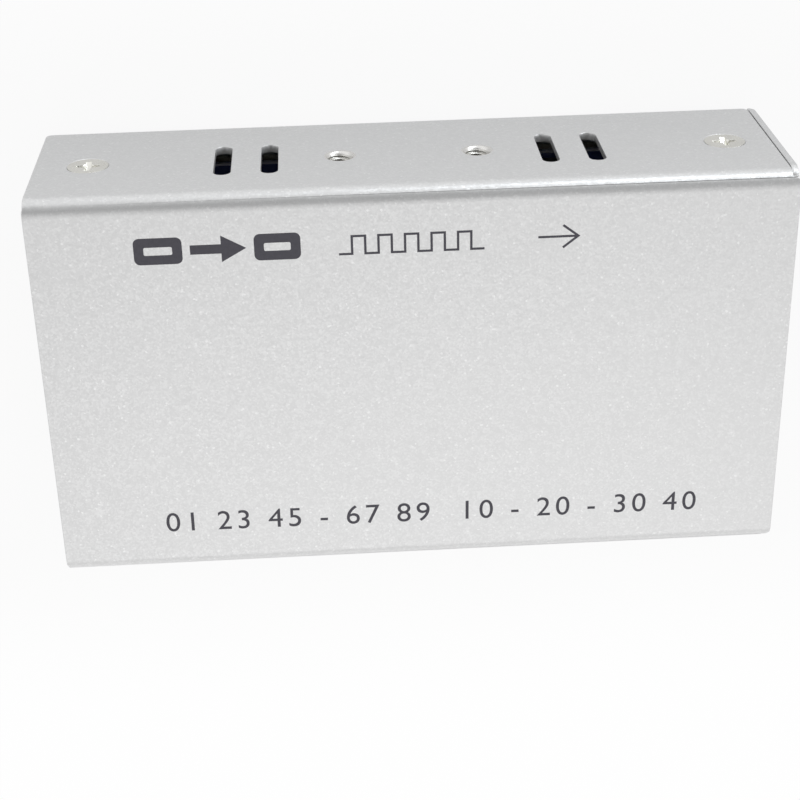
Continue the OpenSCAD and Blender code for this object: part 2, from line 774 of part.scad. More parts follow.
// Shell of the video socket: a bevelled tube with two spring fingers in its top
module video_shell() {
    finger_w = video_w / 7;
    finger_l = video_depth * 0.6;
    finger_x = video_front + video_depth * 0.25;
    roof = video_lift + video_sheet + video_h;
    color("silver") lifted() at_left(video_y) {
        difference() {
            bar_x(video_front, video_back) difference() {
                video_outline(video_sheet);
                video_outline(0);
            }
            for (side = [-1, 1])
                translate([finger_x + finger_l / 2, side * video_w / 4, roof - over])
                    block([finger_l, finger_w + 2 * video_sheet, video_sheet + 2 * over]);
        }
        for (side = [-1, 1]) translate([0, side * video_w / 4, 0]) bar_y(finger_w)
            bent_strip([[finger_x + finger_l + video_sheet, roof + video_sheet / 2],
                [finger_x + finger_l * 0.85, roof + video_sheet / 2],
                [finger_x + finger_l * 0.3, roof - video_sheet],
                [finger_x + video_sheet, roof]], video_sheet);
        video_legs();
    }
}

// Insulator of the video socket: rear block and tongue, with a channel for each contact
module video_tongue() {
    color("black") lifted() at_left(video_y) difference() {
        union() {
            bar_x(video_front + video_depth, video_back) video_outline(-head_gap);
            translate([(tongue_back + video_back) / 2, 0, tongue_z - tongue_t / 2])
                block([video_back - tongue_back, tongue_w, tongue_t]);
        }
        for (i = [0 : video_count - 1]) {
            z = tongue_z + (i % 2 == 0 ? 1 : -1) * (tongue_t + video_contact_t) / 2;
            translate([video_front + video_depth + (video_l - video_depth) / 2,
                (i - (video_count - 1) / 2) * video_pitch, z - video_contact_t / 2])
                block([video_l - video_depth + 2 * over, video_contact_w + head_gap,
                    video_contact_t]);
        }
    }
}

// Contacts of the video socket, in an upper and a lower row
module video_contacts() {
    color("gold") lifted() at_left(video_y) for (i = [0 : video_count - 1])
        translate([0, (i - (video_count - 1) / 2) * video_pitch, 0])
            bar_y(video_contact_w) bent_strip(video_path(i % 2 == 0), video_contact_t);
}

// Body of the power socket: front plate, barrel and foot, bored for the plug
module power_body() {
    bore_floor = power_axis - power_bore_d / 2;
    color("black") lifted() at_left(-power_y) difference() {
        union() {
            translate([power_face + power_front / 2, 0, 0]) block([power_front, power_w, power_h]);
            translate([(power_face + power_end) / 2, 0, 0])
                block([power_l, power_barrel_d, power_axis]);
            translate([power_face, 0, power_axis]) rotate([0, 90, 0])
                cylinder(d = power_barrel_d, h = power_l);
        }
        translate([power_face - over, 0, power_axis]) rotate([0, 90, 0])
            cylinder(d = power_bore_d, h = power_depth + over);
        translate([power_face, 0, power_axis]) rotate([0, 90, 0])
            cylinder(d = pin_d * shank_share + 2 * head_gap, h = power_l + over);
        translate([(power_face + spring_x) / 2 + spring_t, 0, bore_floor / 2])
            block([spring_x - power_face - spring_t, spring_w + 2 * hole_gap, power_bore_d / 2 + over]);
        translate([spring_x, 0, -over])
            block([spring_t + 2 * hole_gap, spring_w + 2 * hole_gap, bore_floor]);
    }
}

// Tails of the power socket below its foot, with a gap for the board's slots
module power_tails(gap) {
    tall = board_t + 2 * over;
    translate([spring_x, 0, -board_t - over])
        block([spring_t + 2 * gap, spring_w + 2 * gap, tall]);
    translate([power_end + blade_t / 2, 0, -board_t - over])
        block([blade_t + 2 * gap, blade_w + 2 * gap, tall]);
}

// Centre pin of the power socket, its shank in the rear wall and its blade behind it
module power_pin() {
    tip = pin_d / 6;
    color("lightsteelblue") lifted() at_left(-power_y) {
        translate([0, 0, power_axis]) rotate([0, 90, 0]) {
            translate([0, 0, power_face + pin_back])
                cylinder(d1 = pin_d - 2 * tip, d2 = pin_d, h = tip);
            translate([0, 0, power_face + pin_back + tip])
                cylinder(d = pin_d, h = pin_end - power_face - pin_back - tip);
            translate([0, 0, pin_end]) cylinder(d = pin_d * shank_share, h = power_end - pin_end);
        }
        translate([power_end + blade_t / 2, 0, -board_t - lead_below])
            block([blade_t, blade_w, board_t + lead_below + power_axis + blade_w / 2]);
    }
}

// Spring that touches the plug's sleeve from below
module power_spring() {
    color("lightsteelblue") lifted() at_left(-power_y)
        bar_y(spring_w) bent_strip(spring_path(), spring_t);
}

// Block that holds the lamp level behind its panel hole
module lamp_holder() {
    length = lamp_end - holder_x;
    color("black") lifted() at_left(-lamp_y) difference() {
        translate([holder_x + length / 2, 0, 0]) block([length, holder_w, lamp_axis + holder_w / 2]);
        translate([holder_x - over, 0, lamp_axis]) rotate([0, 90, 0])
            cylinder(d = lamp_d + 2 * head_gap, h = length + 2 * over);
    }
}

// Lamp: a cylinder with a round nose
module power_lamp() {
    color("lightblue") lifted() at_left(-lamp_y) translate([0, 0, lamp_axis]) {
        translate([lamp_d / 2 - lamp_proud, 0, 0]) rotate([0, 90, 0])
            cylinder(d = lamp_d, h = lamp_l - lamp_d / 2);
        translate([lamp_d / 2 - lamp_proud, 0, 0]) rotate([0, 90, 0]) sphere(d = lamp_d);
    }
}

// Two leads of the lamp, bent down through the board
module lamp_leads() {
    color("silver") lifted() at_left(-lamp_y) for (side = [-1, 1])
        translate([0, side * lamp_pitch / 2, 0]) bar_y(lamp_lead_d)
            bent_strip([[lamp_end, lamp_axis], [lamp_lead_x, lamp_axis],
                [lamp_lead_x, -board_t - lead_below]], lamp_lead_d);
}

// Front view of the plug cavity with its latch channel, grown by g
module cavity_outline(g) {
    translate([-cavity_w / 2 - g, cavity_floor - g]) square([cavity_w + 2 * g, cavity_h + 2 * g]);
    translate([-latch_w / 2 - g, cavity_floor]) square([latch_w + 2 * g, cavity_h + latch_h + g]);
}

// Front view of the two network lamps, grown by g
module net_lamp_outlines(g) {
    for (side = [-1, 1])
        translate([side * net_lamp_y - net_lamp_w / 2 - g, net_lamp_z - g])
            square([net_lamp_w + 2 * g, net_lamp_h + 2 * g]);
}

// Plastic housing of the network socket, standing on two posts
module network_housing() {
    inner_w = net_w - 2 * (net_sheet + head_gap);
    inner_h = net_h - net_sheet - head_gap;
    inner_front = net_front + net_sheet + head_gap;
    inner_back = net_front + net_l - net_sheet - head_gap;
    groove = net_contact_w + 2 * hole_gap;
    path = net_path();
    color("black") lifted() at_right(0) {
        difference() {
            translate([(inner_front + inner_back) / 2, 0, 0])
                block([inner_back - inner_front, inner_w, inner_h]);
            bar_x(net_front - over, net_front + cavity_depth) cavity_outline(0);
            bar_x(net_front - over, net_front + net_lamp_l) net_lamp_outlines(net_lamp_gap);
            for (i = [0 : net_contacts - 1])
                translate([0, (i - (net_contacts - 1) / 2) * net_pitch, 0]) {
                    translate([(path[2].x + net_tail_x) / 2, 0, path[2].y - net_contact_t])
                        block([net_tail_x - path[2].x + 2 * net_contact_t, groove,
                            2 * net_contact_t + (cavity_floor - path[2].y)]);
                    translate([net_tail_x, 0, -over])
                        block([2 * net_contact_t, groove, cavity_floor]);
                }
        }
        for (side = [-1, 1]) translate([post_x, side * post_pitch / 2, -board_t - lead_below])
            cylinder(d = post_d, h = board_t + lead_below + cavity_floor / 2);
    }
}

// Shield of the network socket: a folded box, open below and at the mouth
module network_shield() {
    color("silver") lifted() at_right(0) {
        difference() {
            translate([net_front + net_l / 2, 0, 0]) block([net_l, net_w, net_h]);
            translate([net_front + net_l / 2, 0, -over])
                block([net_l - 2 * net_sheet, net_w - 2 * net_sheet, net_h - net_sheet + over]);
            bar_x(net_front - over, net_front + net_sheet + over) cavity_outline(head_gap);
            bar_x(net_front - over, net_front + net_sheet + over) net_lamp_outlines(net_lamp_gap);
        }
        network_legs();
    }
}

// Legs of the network socket's shield; a gap makes them the board's slots
module network_legs(gap = 0) {
    drop = board_t + (gap > 0 ? over : lead_below);
    rise = gap > 0 ? over : net_leg_w;
    for (side = [-1, 1], x = net_leg_xs)
        translate([x, side * (net_w - net_sheet) / 2, -drop])
            block([net_leg_w + 2 * gap, net_sheet + 2 * gap, drop + rise]);
}

// Spring contacts of the network socket
module network_contacts() {
    color("gold") lifted() at_right(0) for (i = [0 : net_contacts - 1])
        translate([0, (i - (net_contacts - 1) / 2) * net_pitch, 0])
            bar_y(net_contact_w) bent_strip(net_path(), net_contact_t);
}

// Link and traffic lamps beside the latch channel
module network_lamps() {
    color("lightyellow") lifted() at_right(0)
        bar_x(net_front, net_front + net_lamp_l - net_lamp_gap) net_lamp_outlines(0);
}

// Chip that turns the video signal into network pairs
module extender_chip() {
    color("black") lifted() on_board(chip_place) block([main_chip, main_chip, chip_t]);
}

// Pad between the extender chip and its heat sink
module thermal_pad() {
    color("lightpink") lifted() on_board(chip_place)
        translate([0, 0, chip_t]) block([main_chip, main_chip, pad_t]);
}

// Finned heat sink on the pad
module heat_sink() {
    fins = 7;
    color("darkgray") lifted() on_board(chip_place) translate([0, 0, chip_t + pad_t]) {
        block([sink_side, sink_side, sink_base]);
        for (i = [0 : fins - 1])
            translate([0, (i / (fins - 1) - 1 / 2) * (sink_side - fin_t), 0])
                block([sink_side, fin_t, sink_h]);
    }
}

// Isolating transformers between the chip and the network socket
module line_transformer() {
    color("dimgray") lifted() on_board(transformer_place)
        block([transformer_w, transformer_l, transformer_h]);
}

// Leads along the two long sides of the transformer
module transformer_leads() {
    color("silver") lifted() on_board(transformer_place) for (turn = [90, -90])
        rotate([0, 0, turn]) lead_row(transformer_w / 2, 12, transformer_l / 13, lead_reach);
}

// Small processor that sets the box up
module control_chip_body() {
    color("black") lifted() on_board(control_place) block([control_chip, control_chip, chip_t]);
}

// Chips that keep the settings
module memory_chips() {
    color("black") lifted() for (place = memory_places) on_board(place)
        block([memory_l, memory_w, chip_t]);
}

// Leads of all the flat chips
module chip_leads() {
    color("silver") lifted() {
        for (turn = [0, 90, 180, 270]) {
            on_board(chip_place) rotate([0, 0, turn])
                lead_row(main_chip / 2, 14, main_chip / 15, chip_t / 2);
            on_board(control_place) rotate([0, 0, turn])
                lead_row(control_chip / 2, 8, control_chip / 9, chip_t / 2);
        }
        for (place = memory_places, turn = [0, 180]) on_board(place) rotate([0, 0, turn])
            lead_row(memory_w / 2, 4, memory_l / 4, chip_t / 2);
    }
}

// Crystal in its flattened can, on a base plate
module crystal() {
    plate_t = crystal_h / 8;
    color("gainsboro") lifted() on_board(crystal_place) {
        linear_extrude(plate_t) rounded(crystal_l, crystal_w, crystal_w / 2.1);
        linear_extrude(crystal_h)
            rounded(crystal_l - 2 * plate_t, crystal_w - 2 * plate_t, (crystal_w - 2 * plate_t) / 2.1);
    }
}

// Cans of the three electrolytic capacitors
module capacitor_cans() {
    waist = can_h / 12;
    color("gainsboro") lifted() for (place = capacitor_places) on_board(place)
        translate([0, 0, can_base_t]) {
            cylinder(d = can_d, h = 2 * waist);
            translate([0, 0, 2 * waist]) cylinder(d = can_d - waist, h = waist);
            translate([0, 0, 3 * waist]) cylinder(d = can_d, h = can_h - 4 * waist);
            translate([0, 0, can_h - waist]) cylinder(d1 = can_d, d2 = can_d - waist, h = waist);
        }
}

// Plastic bases under the capacitor cans, with two corners cut to mark a pole
module capacitor_bases() {
    half = can_base / 2;
    cut = can_base / 6;
    color("black") lifted() for (place = capacitor_places) on_board(place)
        linear_extrude(can_base_t)
            polygon([[-half, -half], [half - cut, -half], [half, cut - half], [half, half - cut],
                [half - cut, half], [-half, half]]);
}

// Power inductors: a square foot with a round core
module power_inductors() {
    foot_t = inductor_h / 4;
    color("darkslategray") lifted() for (place = inductor_places) on_board(place) {
        linear_extrude(foot_t) rounded(inductor_side, inductor_side, inductor_side / 6);
        translate([0, 0, foot_t]) cylinder(d = inductor_side * 0.7, h = inductor_h - 2 * foot_t);
        translate([0, 0, inductor_h - foot_t])
            linear_extrude(foot_t) rounded(inductor_side, inductor_side, inductor_side / 6);
    }
}

// Voltage regulator with its cooling tab and its leads
module regulator() {
    tab_t = regulator_h / 5;
    color("darkgray") lifted() on_board(regulator_place) {
        block([regulator_side, regulator_side, regulator_h]);
        translate([0, -regulator_side / 2, 0]) block([regulator_side * 0.8, regulator_side / 3, tab_t]);
        for (side = [-1, 1])
            translate([side * regulator_side / 3, regulator_side * 0.6, 0])
                block([regulator_side / 8, regulator_side / 3, tab_t]);
    }
}

// Fuse of the power input
module input_fuse() {
    color("forestgreen") lifted() on_board(fuse_place)
        block([fuse_l, fuse_l * 0.7, fuse_l / 4]);
}

// Chokes on the four signal pairs behind the video socket
module signal_chokes() {
    color("dimgray") lifted() at_left(video_y) for (i = [0 : 3])
        translate([choke_place(i).x, choke_place(i).y, 0])
            block([choke_l, choke_l * 0.6, choke_l * 0.6]);
}

// Ceramic capacitors in two rows beside the extender chip
module ceramic_capacitors() {
    side = ceramic_l * ceramic_aspect_share;
    level = main_chip / 2 + lead_reach + part_gap + side / 2;
    color("burlywood") lifted() on_board(chip_place) for (row = [-level, level], i = [-3 : 3])
        translate([i * ceramic_pitch, row, 0]) block([ceramic_l, side, side]);
}

// Resistors beside the line transformer
module chip_resistors() {
    side = ceramic_l * ceramic_aspect_share;
    level = transformer_l / 2 + part_gap + side / 2;
    color("black") lifted() on_board(transformer_place) for (i = [0 : 3])
        translate([(i - 3 / 2) * ceramic_pitch, level, 0]) block([ceramic_l, side, side / 2]);
}

cover();
base();
cover_screws();
rubber_feet();
insulation_sheet();
board_standoffs();
board_screws();
main_board();
video_shell();
video_tongue();
video_contacts();
power_body();
power_pin();
power_spring();
lamp_holder();
power_lamp();
lamp_leads();
network_housing();
network_shield();
network_contacts();
network_lamps();
extender_chip();
thermal_pad();
heat_sink();
line_transformer();
transformer_leads();
control_chip_body();
memory_chips();
chip_leads();
crystal();
capacitor_cans();
capacitor_bases();
power_inductors();
regulator();
input_fuse();
signal_chokes();
ceramic_capacitors();
chip_resistors();
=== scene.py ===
# %% [markdown]
# A wired video extender is a small box of folded sheet metal. A cover with two long walls slides
# over a base with two end panels, four countersunk screws hold them together, and a circuit board
# inside carries a video socket and a power socket at one end and a network socket at the other.
# The frame brings every one of those pieces at its real size. This notebook gives them their
# finish, and adds what a maker adds last: soft edges where the sheet was cut, threads in the
# tapped holes and the print on the top plate. Everything is in metres, and the floor is at z = 0.

import math
from functools import reduce

import bmesh
import bpy
import numpy as np
from mathutils import Matrix, Vector


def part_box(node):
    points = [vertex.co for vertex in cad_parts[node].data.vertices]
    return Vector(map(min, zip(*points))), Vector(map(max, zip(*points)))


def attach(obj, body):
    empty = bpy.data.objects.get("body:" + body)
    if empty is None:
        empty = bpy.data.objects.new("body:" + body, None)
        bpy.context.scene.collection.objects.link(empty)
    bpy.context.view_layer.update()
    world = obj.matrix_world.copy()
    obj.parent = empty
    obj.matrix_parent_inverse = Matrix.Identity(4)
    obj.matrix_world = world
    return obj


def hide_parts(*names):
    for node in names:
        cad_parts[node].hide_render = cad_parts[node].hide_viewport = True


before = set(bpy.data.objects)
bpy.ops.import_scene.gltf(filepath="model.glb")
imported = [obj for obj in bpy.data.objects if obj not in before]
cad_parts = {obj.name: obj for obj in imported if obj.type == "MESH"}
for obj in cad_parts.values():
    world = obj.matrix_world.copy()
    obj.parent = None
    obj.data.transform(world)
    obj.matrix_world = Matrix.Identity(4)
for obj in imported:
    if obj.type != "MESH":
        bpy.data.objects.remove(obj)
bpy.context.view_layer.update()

# %% [markdown]
# Sizes that the finish needs are read from the frame, so that a mark or a thread sits on the
# piece that carries it. The frame gives boxes and no holes, so the ear holes' places and radii
# are written here once, in millimetres times one unit. The screws and the ear holes share one
# height, halfway up the case.

# %% Sizes
MM = 0.001
cover_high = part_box("cover")[1]
case_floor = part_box("base")[0].z
TOP = cover_high.z
WALL_Y = cover_high.y
SCREW_Z = (TOP + case_floor) / 2
EAR_X = 8.3 * MM
EAR_RADIUS = 1.4 * MM
EAR_RING = 1.95 * MM
print("top plate at", round(TOP / MM, 3), "mm, ear holes at z", round(SCREW_Z / MM, 3), "mm")

# %% [markdown]
# The camera stands where the real one stood. Six corners of the box can be seen, and a first
# place came from them, as if the corners were sharp. The one here was then fitted by least
# squares to the whole outline, with the box's size fixed and its lower edge counted as the round
# fold that it is. Two unit vectors say how the camera is turned, and their cross product is the
# third.

# %% Camera
FOCAL_PIXELS = 1711.97
FRAME_PIXELS = 800
SENSOR = 36.0
NEAR_LIMIT = 0.01
camera_place = Vector((-10.819, 94.313, 210.104)) * MM
camera_right = Vector((0.99814, -0.02123, 0.05715))
camera_up = Vector((0.04527, 0.88600, -0.46147))
camera_back = camera_right.cross(camera_up)


def linked(name, data):
    """A new object that holds the given data, in the scene and at the origin."""
    thing = bpy.data.objects.new(name, data)
    bpy.context.scene.collection.objects.link(thing)
    return thing


lens = bpy.data.cameras.new("camera")
lens.sensor_width = SENSOR
lens.lens = SENSOR * FOCAL_PIXELS / FRAME_PIXELS
lens.clip_start = NEAR_LIMIT
camera = linked("camera", lens)
turn = Matrix((camera_right, camera_up, camera_back)).transposed()
camera.matrix_world = Matrix.Translation(camera_place) @ turn.to_4x4()
bpy.context.scene.camera = camera
print("lens", round(lens.lens, 2), "mm, distance", round(camera_place.length, 3), "m")

# %% [markdown]
# A finish is a network of nodes. Written node by node it hides the idea, so it is better written
# as a formula. The first of two small classes is a wire: one output of a node. Arithmetic on a
# wire adds Math nodes, so 1 - mask or abs(x) reads as it would on paper.

# %% Wires
class Wire:
    """One output of a node. Arithmetic on it adds Math nodes, so a mask reads like a formula."""

    def __init__(self, finish, socket):
        self.finish = finish
        self.socket = socket

    def math(self, operation, *values):
        """One Math node on wires or numbers."""
        return self.finish.node("Math", {"operation": operation}, values)

    def __add__(self, other):
        return self.math("ADD", self, other)

    def __sub__(self, other):
        return self.math("SUBTRACT", self, other)

    def __rsub__(self, other):
        return self.math("SUBTRACT", other, self)

    def __mul__(self, other):
        return self.math("MULTIPLY", self, other)

    def __pow__(self, other):
        return self.math("POWER", self, other)

    def __abs__(self):
        return self.math("ABSOLUTE", self)

    __radd__ = __add__
    __rmul__ = __mul__

    def rise(self, low, high):
        """0 below low, 1 above high, and a smooth step between them."""
        sockets = {"Value": self, "From Min": low, "From Max": high}
        return self.finish.node("MapRange", {"interpolation_type": "SMOOTHSTEP"}, sockets)


print("a wire takes + - * ** abs and rise")

# %% [markdown]
# The second class is the finish itself. It makes the material, and one method of it adds any
# other node. What varies over the surface reads Object coordinates, which here are metres in the
# box's own frame, so that a grain of 0.2 mm is a scale of 1 / 0.0002. Noise gives soft mottling,
# and a texture of cells gives flakes, because each cell has one random colour all over.

# %% Finishes
def opaque(color, level=1.0):
    """A colour times a level, with the fourth number that a colour socket needs."""
    return (*(level * channel for channel in color), 1)


def grey(level):
    """A neutral colour of the given linear level."""
    return (level, level, level)


class Finish:
    """A procedural material, with its shader's constant sockets given by name."""

    def __init__(self, name, color, **sockets):
        self.material = bpy.data.materials.new(name)
        self.material.use_nodes = True
        self.tree = self.material.node_tree
        self.shader = self.tree.nodes["Principled BSDF"]
        self.set("Base Color", opaque(color))
        for key, value in sockets.items():
            self.set(key.replace("_", " ").title().replace("Ior", "IOR"), value)
        self.place = self.node("TexCoord", output="Object")

    def connect(self, value, socket):
        """Links a wire to a socket, or writes a plain value into it."""
        if isinstance(value, Wire):
            self.tree.links.new(value.socket, socket)
        else:
            socket.default_value = value

    def set(self, socket, value):
        """Gives one of the shader's sockets a wire or a plain value."""
        self.connect(value, self.shader.inputs[socket])

    def node(self, kind, settings=None, values=(), output=0):
        """Adds a node of any kind: its settings first, then its sockets, by order or by key."""
        node = self.tree.nodes.new("ShaderNode" + kind)
        for key, value in (settings or {}).items():
            setattr(node, key, value)
        pairs = values.items() if isinstance(values, dict) else enumerate(values)
        for key, value in pairs:
            self.connect(value, node.inputs[key])
        return Wire(self, node.outputs[output])

    def siblings(self, wire, names):
        """Several outputs, by name, of the node that a wire comes from."""
        return [Wire(self, wire.socket.node.outputs[name]) for name in names]

    def axes(self):
        """The three Object coordinates as three wires."""
        return self.siblings(self.node("SeparateXYZ", values=[self.place]), "XYZ")

    def noise(self, size, detail=2.0):
        """Soft mottling from 0 to 1, with features of about the given size."""
        values = {"Vector": self.place, "Scale": 1 / size, "Detail": detail}
        return self.node("TexNoise", values=values)

    def flakes(self, size):
        """Random colour that is the same all over each flake of the given size."""
        values = {"Vector": self.place, "Scale": 1 / size}
        return self.node("TexVoronoi", values=values, output="Color")

    def vector(self, operation, *values):
        """One Vector Math node, for colours and normals: a Math node would turn them grey."""
        return self.node("VectorMath", {"operation": operation}, values)

    def blend(self, factor, first, second):
        """Colour that goes from first to second as factor goes from 0 to 1."""
        return self.node("Mix", {"data_type": "RGBA"}, {0: factor, 6: first, 7: second}, output=2)

    def tilt(self, flakes, amount):
        """The surface's normal, tilted a little at random on each flake."""
        sideways = self.vector("SUBTRACT", flakes, grey(0.5))
        scaled = self.node("VectorMath", {"operation": "SCALE"}, {0: sideways, "Scale": amount})
        normal = self.node("NewGeometry", output="Normal")
        return self.vector("NORMALIZE", self.vector("ADD", normal, scaled))

    def bump(self, height, distance, strength=1.0, normal=None):
        """Gives the shader the normal of a surface raised by height times distance."""
        values = {"Height": height, "Distance": distance, "Strength": strength}
        if normal is not None:
            values["Normal"] = normal
        self.set("Normal", self.node("Bump", values=values))


def wear(finish, color, size, amount):
    """Base colour that varies by the given amount over patches of the given size."""
    patches = finish.noise(size).rise(0.3, 0.7)
    finish.set("Base Color", finish.blend(patches, opaque(color, 1 - amount), opaque(color)))


print("a finish has", sum(callable(method) for method in vars(Finish).values()), "methods")

# %% [markdown]
# The case is powder coated in silver. The powder melts into a skin with a faint orange-peel wave,
# and aluminium flakes in it catch the light one by one. A picture of grain would repeat and would
# blur from near by, so the flakes are cells in space: the base colour varies a little from flake
# to flake, and each tilts the normal by a few degrees. About one flake in eighty gets a painted
# glint: white is blended into its base colour, so it looks bright under any lamp. The paint is
# more metal than plastic, because most of its light comes from the flakes. Two soft noises raise
# the skin. Where the tap cut through the paint, a ring of bare steel shows: its mask is the
# distance from the holes' axes.

# %% Silver powder coat
WHITE = (1, 1, 1)
PAINT = (0.80, 0.80, 0.80)
BARE_RING = (0.80, 0.79, 0.77)
PAINT_METAL, METAL_SPREAD = 0.6, 0.1
PAINT_ROUGHNESS = 0.34
FLAKE = 0.22 * MM
FLAKE_TILT = 0.06
DARK_FLAKE, PALE_FLAKE = 0.955, 1.045
# Painted glints: the rarest flakes get white painted into their base colour, and a little less
# roughness.
PAINTED_GLINT_FROM, PAINTED_GLINT_FULL = 0.984, 0.99
PAINTED_GLINT_SHARE, GLINT_FLAKE_POLISH = 0.35, 0.04
RING_IN, RING_OUT = 0.06 * MM, 0.02 * MM
RING_METAL, RING_POLISH = 0.35, 0.1
PEEL_WAVE, PEEL_RIPPLE = 1.1 * MM, 0.28 * MM
PEEL_HEIGHT, RIPPLE_SHARE = 0.03 * MM, 0.35


def powder_coat():
    finish = Finish("silver_powder_coat", PAINT, roughness=PAINT_ROUGHNESS, metallic=PAINT_METAL,
                    coat_weight=0.08, coat_roughness=0.3)
    flakes = finish.flakes(FLAKE)
    tone = finish.node("SeparateColor", values=[flakes])
    x, _, z = finish.axes()
    away = ((abs(x) - EAR_X) ** 2 + (z - SCREW_Z) ** 2) ** 0.5
    bare = 1 - away.rise(EAR_RING - RING_IN, EAR_RING + RING_OUT)
    # Painted glint: about one flake in eighty is blended towards white in the base colour, bright
    # under any lamp.
    painted_glint = tone.rise(PAINTED_GLINT_FROM, PAINTED_GLINT_FULL)
    speckle = finish.blend(tone ** 2, opaque(PAINT, DARK_FLAKE), opaque(PAINT, PALE_FLAKE))
    # The speckled paint colour with the painted glints blended in.
    coat = finish.blend(PAINTED_GLINT_SHARE * painted_glint, speckle, opaque(WHITE))
    finish.set("Base Color", finish.blend(bare, coat, opaque(BARE_RING)))
    metal = PAINT_METAL - METAL_SPREAD / 2 + METAL_SPREAD * tone
    finish.set("Metallic", metal + RING_METAL * bare)
    finish.set("Roughness", PAINT_ROUGHNESS - RING_POLISH * bare - GLINT_FLAKE_POLISH * painted_glint)
    ripple = finish.noise(PEEL_RIPPLE, detail=1.0)
    peel = finish.noise(PEEL_WAVE, detail=1.0) + RIPPLE_SHARE * ripple
    tilted = finish.tilt(flakes, FLAKE_TILT)
    finish.bump(peel, PEEL_HEIGHT, strength=0.5, normal=tilted)
    return finish.material


case_paint = powder_coat()
print("finish", case_paint.name, "with", len(case_paint.node_tree.nodes), "nodes")

# %% [markdown]
# The other finishes are simpler, and one function makes each kind. Plated steel, tin, brass and
# drawn aluminium are metals with faint mottling in their colour and fine scratches in their
# roughness. The same noise raises the surface by a few thousandths of a millimetre, so that what
# dulls it also breaks up its highlight.

# %% Metals
def plated(name, color, roughness, scratch, patch=2.0 * MM, fade=0.08, spread=0.16,
           height=0.004 * MM):
    """Plated metal: a clean mirror with faint mottling and scratches of the given size."""
    finish = Finish(name, color, metallic=1.0, roughness=roughness)
    wear(finish, color, patch, fade)
    marks = finish.noise(scratch, detail=4.0)
    finish.set("Roughness", roughness + spread * (marks - 0.5))
    finish.bump(marks, height, strength=0.6)
    return finish.material


screw_nickel = plated("screw_nickel", (0.87, 0.86, 0.81), 0.28, 1.2 * MM)
socket_steel = plated("socket_steel", grey(0.66), 0.3, 0.25 * MM)
pin_nickel = plated("pin_nickel", grey(0.72), 0.16, 0.2 * MM)
contact_gold = plated("contact_gold", (0.86, 0.62, 0.24), 0.2, 0.15 * MM)
tin = plated("tinned_copper", grey(0.68), 0.34, 0.12 * MM)
brass = plated("turned_brass", (0.72, 0.54, 0.27), 0.28, 0.2 * MM)
drawn_aluminium = plated("drawn_aluminium", grey(0.74), 0.3, 0.2 * MM)
bare_steel = plated("bare_steel", (0.66, 0.65, 0.62), 0.26, 0.1 * MM)
metals = [screw_nickel, socket_steel, pin_nickel, contact_gold, tin, brass, drawn_aluminium,
          bare_steel]
print("metals:", *(metal.name for metal in metals))

# %% [markdown]
# Moulded plastics, rubber, resin and ceramics have a fine grain and a broad sheen. They differ in
# their colour, in how rough they are and in the size of the grain, so each is one line. The board
# under its dark blue mask has a thin clear coat, as lacquer does, and the lamp's blue plastic
# lets light through.

# %% Plastics, rubber and ceramics
def moulded(name, color, roughness, grain, height, patch=3.0 * MM, fade=0.15, spread=0.14,
            **sockets):
    """Moulded or sintered material: a fine grain of the given size and height."""
    finish = Finish(name, color, roughness=roughness, **sockets)
    wear(finish, color, patch, fade)
    skin = finish.noise(grain, detail=3.0)
    finish.set("Roughness", roughness + spread * (skin - 0.5))
    finish.bump(skin, height, strength=0.7)
    return finish.material


socket_black = moulded("socket_black", (0.018, 0.018, 0.02), 0.42, 0.12 * MM, 0.008 * MM)
chip_black = moulded("chip_black", (0.022, 0.022, 0.024), 0.55, 0.08 * MM, 0.006 * MM)
foot_rubber = moulded("foot_rubber", (0.024, 0.024, 0.025), 0.78, 0.2 * MM, 0.02 * MM)
solder_mask = moulded("solder_mask", (0.030, 0.040, 0.110), 0.3, 0.4 * MM, 0.01 * MM,
                      coat_weight=0.4)
film = moulded("insulating_film", (0.72, 0.69, 0.6), 0.4, 0.8 * MM, 0.01 * MM)
silicone_pad = moulded("silicone_pad", (0.52, 0.4, 0.43), 0.7, 0.3 * MM, 0.01 * MM)
black_anodising = moulded("black_anodising", (0.045, 0.045, 0.048), 0.36, 0.1 * MM, 0.004 * MM,
                          metallic=0.6)
transformer_black = moulded("transformer_black", (0.026, 0.026, 0.028), 0.34, 0.2 * MM,
                            0.006 * MM)
ferrite = moulded("ferrite", (0.07, 0.07, 0.074), 0.6, 0.1 * MM, 0.01 * MM)
polymer_green = moulded("polymer_green", (0.05, 0.2, 0.09), 0.35, 0.2 * MM, 0.006 * MM)
ceramic_tan = moulded("ceramic_tan", (0.42, 0.28, 0.17), 0.5, 0.08 * MM, 0.004 * MM)
glazed_black = moulded("glazed_black", (0.026, 0.026, 0.026), 0.25, 0.1 * MM, 0.003 * MM)
clear_blue = moulded("clear_blue", (0.25, 0.45, 0.85), 0.12, 0.5 * MM, 0.002 * MM,
                     transmission_weight=0.6, ior=1.5)
milky_resin = moulded("milky_resin", (0.74, 0.66, 0.4), 0.25, 0.4 * MM, 0.002 * MM,
                      coat_weight=0.5)
mouldings = [socket_black, chip_black, foot_rubber, solder_mask, film, silicone_pad,
             black_anodising, transformer_black, ferrite, polymer_green, ceramic_tan,
             glazed_black, clear_blue, milky_resin]
print("mouldings:", *(moulding.name for moulding in mouldings))

# %% [markdown]
# The frame's nodes keep their meshes, and only their material slots are filled. A dictionary from
# finish to nodes is shorter than a line for each node, and shows at a glance what is made of
# what.

